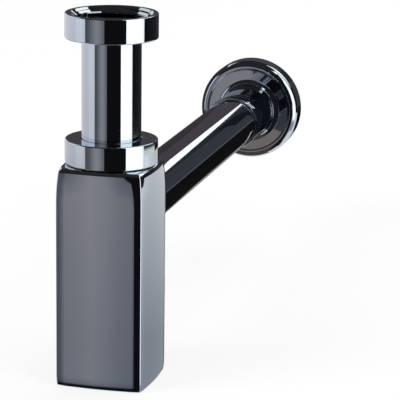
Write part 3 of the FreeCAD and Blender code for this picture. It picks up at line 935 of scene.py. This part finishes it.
def card_finish(name, start, end, strength, stops, heights, radius):
    """A glowing finish whose colour runs through stops across a card, times heights up it.

    The stops are bearings and the heights elevations from -45 to 45, in degrees."""
    made = bpy.data.materials.new(name)
    made.use_nodes = True
    tree = made.node_tree
    tree.nodes.clear()
    place = add_node(tree, "ShaderNodeTexCoord")
    parts = add_node(tree, "ShaderNodeSeparateXYZ")
    tree.links.new(place.outputs["Object"], parts.inputs[0])
    middle = radians((start + end) / 2)
    width = end - start
    sideways = calculate(tree, "MULTIPLY", parts.outputs["X"], cos(middle))
    sideways = calculate(tree, "MULTIPLY_ADD", parts.outputs["Y"], -sin(middle), sideways)
    outwards = calculate(tree, "MULTIPLY", parts.outputs["X"], sin(middle))
    outwards = calculate(tree, "MULTIPLY_ADD", parts.outputs["Y"], cos(middle), outwards)
    turned = calculate(tree, "ARCTAN2", sideways, outwards)
    across = calculate(tree, "MULTIPLY_ADD", turned, 1 / radians(width), 0.5)
    rise = calculate(tree, "DIVIDE", parts.outputs["Z"], radius)
    lift = calculate(tree, "ARCTANGENT", rise, 0)
    lift = calculate(tree, "MULTIPLY_ADD", lift, 1 / radians(height_span), 0.5)
    blend = add_node(tree, "ShaderNodeMix", data_type="RGBA", blend_type="MULTIPLY")
    blend.inputs[0].default_value = 1
    bearing_stops = [((bearing - start) / width, colour) for bearing, colour in stops]
    height_stops = [(height / height_span + 0.5, colour) for height, colour in heights]
    fill_ramp(tree, across, bearing_stops, blend.inputs[6])
    fill_ramp(tree, lift, height_stops, blend.inputs[7])
    glow = add_node(tree, "ShaderNodeEmission")
    glow.inputs["Strength"].default_value = strength
    tree.links.new(blend.outputs[2], glow.inputs["Color"])
    side = add_node(tree, "ShaderNodeNewGeometry")
    clear = add_node(tree, "ShaderNodeBsdfTransparent")
    one_sided = add_node(tree, "ShaderNodeMixShader")
    tree.links.new(side.outputs["Backfacing"], one_sided.inputs["Fac"])
    tree.links.new(glow.outputs[0], one_sided.inputs[1])
    tree.links.new(clear.outputs[0], one_sided.inputs[2])
    out = add_node(tree, "ShaderNodeOutputMaterial")
    tree.links.new(one_sided.outputs[0], out.inputs["Surface"])
    return made


# %% Spin the cards
black = (0.008, 0.0072, 0.008)
white = (1, 1, 1)
plain_heights = ((-45, white), (45, white))


def card(name, start, end, low, high, strength, stops, heights=plain_heights, radius=studio_radius):
    """Spins an upright edge into a curved card between two bearings and two elevations.

    Bearings are degrees from the wall's direction, round by the right-hand side."""
    nothing_selected()
    foot_z = radius * tan(radians(low))
    top_z = radius * tan(radians(high))
    edge_x = radius * sin(radians(start))
    edge_y = radius * cos(radians(start))
    bpy.ops.mesh.primitive_plane_add(size=1, location=(edge_x, edge_y, 0))
    made = bpy.context.object
    bpy.ops.object.transform_apply(location=True, rotation=True, scale=True)
    bpy.ops.object.mode_set(mode="EDIT")
    pick(made, "VERT", lambda vertex: vertex.co.x > edge_x)
    bpy.ops.mesh.delete(type="VERT")
    mesh = bmesh.from_edit_mesh(made.data)
    for vertex, height in zip(mesh.verts, (foot_z, top_z)):
        vertex.co = (edge_x, edge_y, height)
    bmesh.update_edit_mesh(made.data)
    bpy.ops.mesh.select_all(action="SELECT")
    steps = max(2, round(end - start))
    bpy.ops.mesh.spin(steps=steps, angle=radians(end - start), center=(0, 0, 0), axis=(0, 0, 1))
    mesh = bmesh.from_edit_mesh(made.data)
    mesh.normal_update()
    mesh.faces.ensure_lookup_table()
    first = mesh.faces[0]
    outwards = first.calc_center_median() * Vector((1, 1, 0))
    if first.normal.dot(outwards) > 0:
        bpy.ops.mesh.select_all(action="SELECT")
        bpy.ops.mesh.flip_normals()
    bpy.ops.object.mode_set(mode="OBJECT")
    rename(made, name)
    glow = card_finish(name + "_glow", start, end, strength, stops, heights, radius)
    made.data.materials.append(glow)
    only_mirrored(made)
    print(f"{name}: {steps} faces, {foot_z:.2f} to {top_z:.2f} m high")


card("grey_card", 181, 231, -75, 14, 1.0, [
    (181, (0.165, 0.165, 0.19)),
    (187, (0.225, 0.225, 0.255)),
    (193, (0.30, 0.30, 0.33)),
    (200, (0.36, 0.345, 0.36)),
    (207, (0.30, 0.29, 0.31)),
    (214, (0.21, 0.21, 0.24)),
    (221, (0.135, 0.135, 0.155)),
    (231, (0.10, 0.10, 0.12)),
], [
    (-30, (0.03, 0.03, 0.035)),
    (-27.5, (0.62, 0.64, 0.68)),
    (-21, (0.88, 0.89, 0.93)),
    (-18, (0.94, 0.93, 0.96)),
    (-14.2, (1.13, 1.08, 1.05)),
    (-12.9, (1.04, 1.03, 1.0)),
    (-12.4, white),
    (45, white),
])
streaks = (
    (231, 0.95), (238, 1.04), (243, 1.14), (248, 1.05), (254, 1.13),
    (259, 1.05), (266, 0.95), (280, 0.96), (332, 1),
)
card("left_card", 231, 332, -40, 20, 1.0, [(bearing, (level,) * 3) for bearing, level in streaks], [
    (-18, (0.56, 0.56, 0.6)),
    (-15, (0.62, 0.61, 0.65)),
    (-13.4, (0.8, 0.78, 0.82)),
    (-11, (0.86, 0.84, 0.9)),
    (-8.5, (0.92, 0.91, 1.0)),
    (20, (0.95, 0.97, 1.08)),
])
card("left_shade", 231, 250, -40, -15.2, 1.0, [
    (231, (0.10, 0.105, 0.13)),
    (250, (0.10, 0.105, 0.13)),
], radius=5.8)
card("black_flag_front", 127, 181, -75, 35, 1.0, [(127, black), (181, black)])
card("softbox", 76.5, 127, -40, 62, 1.9, [(76.5, (0.7, 0.71, 0.72)), (84, white), (127, white)], [
    (-27, (0.22, 0.23, 0.25)),
    (-21, white),
    (45, white),
])
card("black_flag_right", 14, 76.5, -13.0, 25, 1.0, [
    (14, (0.06, 0.06, 0.07)),
    (28, (0.02, 0.02, 0.022)),
    (76.5, black),
])
card("dark_wall", -28, 30, -25, 35, 1.0, [
    (-28, (0.075, 0.065, 0.075)),
    (0, (0.085, 0.072, 0.085)),
    (8, (0.03, 0.034, 0.045)),
    (30, (0.02, 0.022, 0.028)),
], [(-14, (0.12, 0.12, 0.12)), (-8, white)], radius=6.2)
card("edge_light", -28, -2, -20.6, -13.6, 0.3, [(-28, white), (-2, white)])
card("strip_light", 1.5, 12, 16, 19, 1.9, [(1.5, white), (12, white)])
card("overhead_right", 14, 60, 21, 55, 1.6, [(14, white), (60, white)])
card("overhead_left", 275, 318, 22, 48, 1.0, [(275, white), (318, white)])
# A small card close by stands in for the floor that the bottle's right face mirrors. Its lowest
# rows are darker, a painted shadow of the bottle on that floor, and it glows brighter than white
# towards the softbox, which is painted light.
card("near_floor_light_and_shadow", 7, 76.5, -60, -26.6, 1.0, [
    (7, white),
    (30, white),
    (55, (1.25, 1.27, 1.3)),
    (76.5, (1.6, 1.62, 1.65)),
], [
    (-45, (0.33, 0.35, 0.39)),
    (-28, (0.76, 0.76, 0.78)),
], radius=0.25)

# %% [markdown]
# ## Small flags
# The outlet tube looks along the room, so it mirrors narrow things close to it. Three
# long flags beside it draw the lines on the tube, and the others darken the rosette's
# sleeve and shade its face.

# %% Stand the small flags by the outlet
all_round = (-180, 180)


def flag(name, place, size, turned, colour):
    """A flat card of one colour, laid down and then turned, in mm and degrees."""
    nothing_selected()
    bpy.ops.mesh.primitive_plane_add(
        size=1, location=Vector(place) * MM, rotation=[radians(angle) for angle in turned]
    )
    made = bpy.context.object
    made.scale = (size[0] * MM, size[1] * MM, 1)
    bpy.ops.object.transform_apply(location=True, rotation=True, scale=True)
    rename(made, name)
    one_colour = [(bearing, colour) for bearing in all_round]
    glow = card_finish(name + "_glow", *all_round, 1, one_colour, plain_heights, studio_radius)
    made.data.materials.append(glow)
    only_mirrored(made)
    print(name, "is", size[0], "by", size[1], "mm")


tube_side = 20.5
tube_middle = 152.5
tube_length = 250
faces_left = (0, -90, 0)
faces_back = (-90, 0, 0)
for name, above_axis, width, colour in (
    ("tube_flag", 7.8, 7.6, (0.05, 0.055, 0.07)),
    ("tube_line", 3.35, 1.3, (0.11, 0.10, 0.115)),
    ("tube_shade", -24.8, 55, black),
):
    place = (tube_side, tube_middle, outlet_height + above_axis)
    flag(name, place, (width, tube_length), faces_left, colour)
flag("flare_flag", (25, 284, outlet_height), (70, 52), faces_left, (0.012, 0.0145, 0.019))
flag("rosette_flag", (-85, 391, -110), (190, 218), (0, 90, 0), (0.05, 0.043, 0.05))
flag("face_card", (-71.5, 100, -146), (47, 54), faces_back, (0.34, 0.315, 0.325))
flag("face_shade", (-33, 100, -140), (30, 70), faces_back, (0.05, 0.056, 0.07))
flag("face_glow", (-60, 101, -197), (110, 50), faces_back, (0.27, 0.22, 0.195))
# A dark card lies under the outlet tube, in front of the rosette, and shows only in reflections:
# painted shade of the ground beneath them.
flag("rosette_shade_card", (-45, 215, -235), (150, 230), (0, 0, 0), (0.09, 0.07, 0.065))

# %% Hang the dark ceiling
# A dark dome over the cards keeps white out of every surface that looks upwards.
ceiling_radius = 14
brim = ceiling_radius * sin(radians(-8.5))
nothing_selected()
bpy.ops.mesh.primitive_uv_sphere_add(segments=72, ring_count=36, radius=ceiling_radius)
ceiling = bpy.context.object
bpy.ops.object.mode_set(mode="EDIT")
bpy.ops.mesh.select_all(action="SELECT")
bpy.ops.mesh.bisect(plane_co=(0, 0, brim), plane_no=(0, 0, 1), clear_inner=True)
bpy.ops.mesh.select_all(action="SELECT")
bpy.ops.mesh.flip_normals()
bpy.ops.object.mode_set(mode="OBJECT")
rename(ceiling, "dark_ceiling")
dusk = [(-8, black), (10, (0.012, 0.011, 0.013)), (30, (0.03, 0.026, 0.03))]
plain_stops = [(bearing, white) for bearing in all_round]
ceiling_glow = card_finish(
    "dark_ceiling_glow", *all_round, 1, plain_stops, dusk, ceiling_radius
)
ceiling.data.materials.append(ceiling_glow)
only_mirrored(ceiling)
print("dark ceiling:", len(ceiling.data.polygons), "faces")

# %% Lay the floor
# The floor lies a hair under the bottle's foot, and camera rays see it partly glow.
floor_level = bottle_foot - 0.2
floor_radius = 14
floor_middle = 3
nothing_selected()
bpy.ops.mesh.primitive_circle_add(
    vertices=96, radius=floor_radius, fill_type="NGON", location=(0, 0, floor_level * MM)
)
floor = bpy.context.object
bpy.ops.object.transform_apply(location=True, rotation=True, scale=True)
rename(floor, "studio_floor")
bpy.ops.object.mode_set(mode="EDIT")
bpy.ops.mesh.select_all(action="SELECT")
bpy.ops.mesh.inset(thickness=floor_radius - floor_middle)
bpy.ops.object.mode_set(mode="OBJECT")
floor.visible_glossy = False
paint = bpy.data.materials.new("floor_paint")
paint.use_nodes = True
tree = paint.node_tree
tree.nodes.clear()
matt = add_node(tree, "ShaderNodeBsdfDiffuse")
matt.inputs["Color"].default_value = (0.85, 0.85, 0.85, 1)
glow = add_node(tree, "ShaderNodeEmission")
glow.inputs["Strength"].default_value = 1.05
glow_share = 0.72
ray = add_node(tree, "ShaderNodeLightPath")
share = calculate(tree, "MULTIPLY", ray.outputs["Is Camera Ray"], glow_share)
both = add_node(tree, "ShaderNodeMixShader")
tree.links.new(share, both.inputs[0])
tree.links.new(matt.outputs[0], both.inputs[1])
tree.links.new(glow.outputs[0], both.inputs[2])
out = add_node(tree, "ShaderNodeOutputMaterial")
tree.links.new(both.outputs[0], out.inputs["Surface"])
floor.data.materials.append(paint)
print("floor at", round(floor_level, 1), "mm")

# %% Light the studio
# The air is white to the camera and to reflections, and dimmer where it lights the floor.
air_light = 0.65
look_at = Vector((0, 0.1, -0.1))
world = bpy.data.worlds.new("studio_air")
bpy.context.scene.world = world
world.use_nodes = True
tree = world.node_tree
air = tree.nodes["Background"]
air.inputs["Color"].default_value = (1, 1, 1, 1)
ray = add_node(tree, "ShaderNodeLightPath")
seen = calculate(tree, "MAXIMUM", ray.outputs["Is Camera Ray"], ray.outputs["Is Glossy Ray"])
seen = calculate(tree, "MAXIMUM", seen, ray.outputs["Is Transmission Ray"])
strength = calculate(tree, "MULTIPLY_ADD", seen, 1 - air_light, air_light)
tree.links.new(strength, air.inputs["Strength"])
for name, place, size, power in (
    ("key_lamp", (-1.6, -1.4, 1.7), 1.6, 26),
    ("fill_lamp", (1.8, -0.9, 1.2), 1.4, 12),
    ("back_lamp", (0.4, 1.9, 1.6), 1.4, 12),
):
    nothing_selected()
    bpy.ops.object.light_add(type="AREA", location=place)
    lamp = bpy.context.object
    lamp.name = name
    lamp.data.shape = "DISK"
    lamp.data.size = size
    lamp.data.energy = power
    lamp.rotation_euler = (look_at - Vector(place)).to_track_quat("-Z", "Y").to_euler()
    lamp.visible_glossy = False

# %% [markdown]
# ## The camera
# A long lens from a little above, well over a metre away, keeps the bottle's upright
# edges almost parallel, as in a catalogue picture.

# %% Place the camera
camera_place = (0.3589, -1.1747, 0.2027)
right = Vector((0.96623, 0.25745, 0.01131))
up = Vector((-0.07236, 0.22893, 0.97075))
forward = Vector((-0.24733, 0.93878, -0.23983))
long_lens = 211.13
nothing_selected()
bpy.ops.object.camera_add(location=camera_place)
camera = bpy.context.object
camera.name = "studio_camera"
camera.rotation_euler = Matrix((right, up, -forward)).transposed().to_euler()
camera.data.lens = long_lens
camera.data.sensor_width = 36
bpy.context.scene.camera = camera
bpy.context.scene.view_settings.view_transform = "Standard"
print("camera", round(camera.location.length, 3), "m from the nut's mouth")
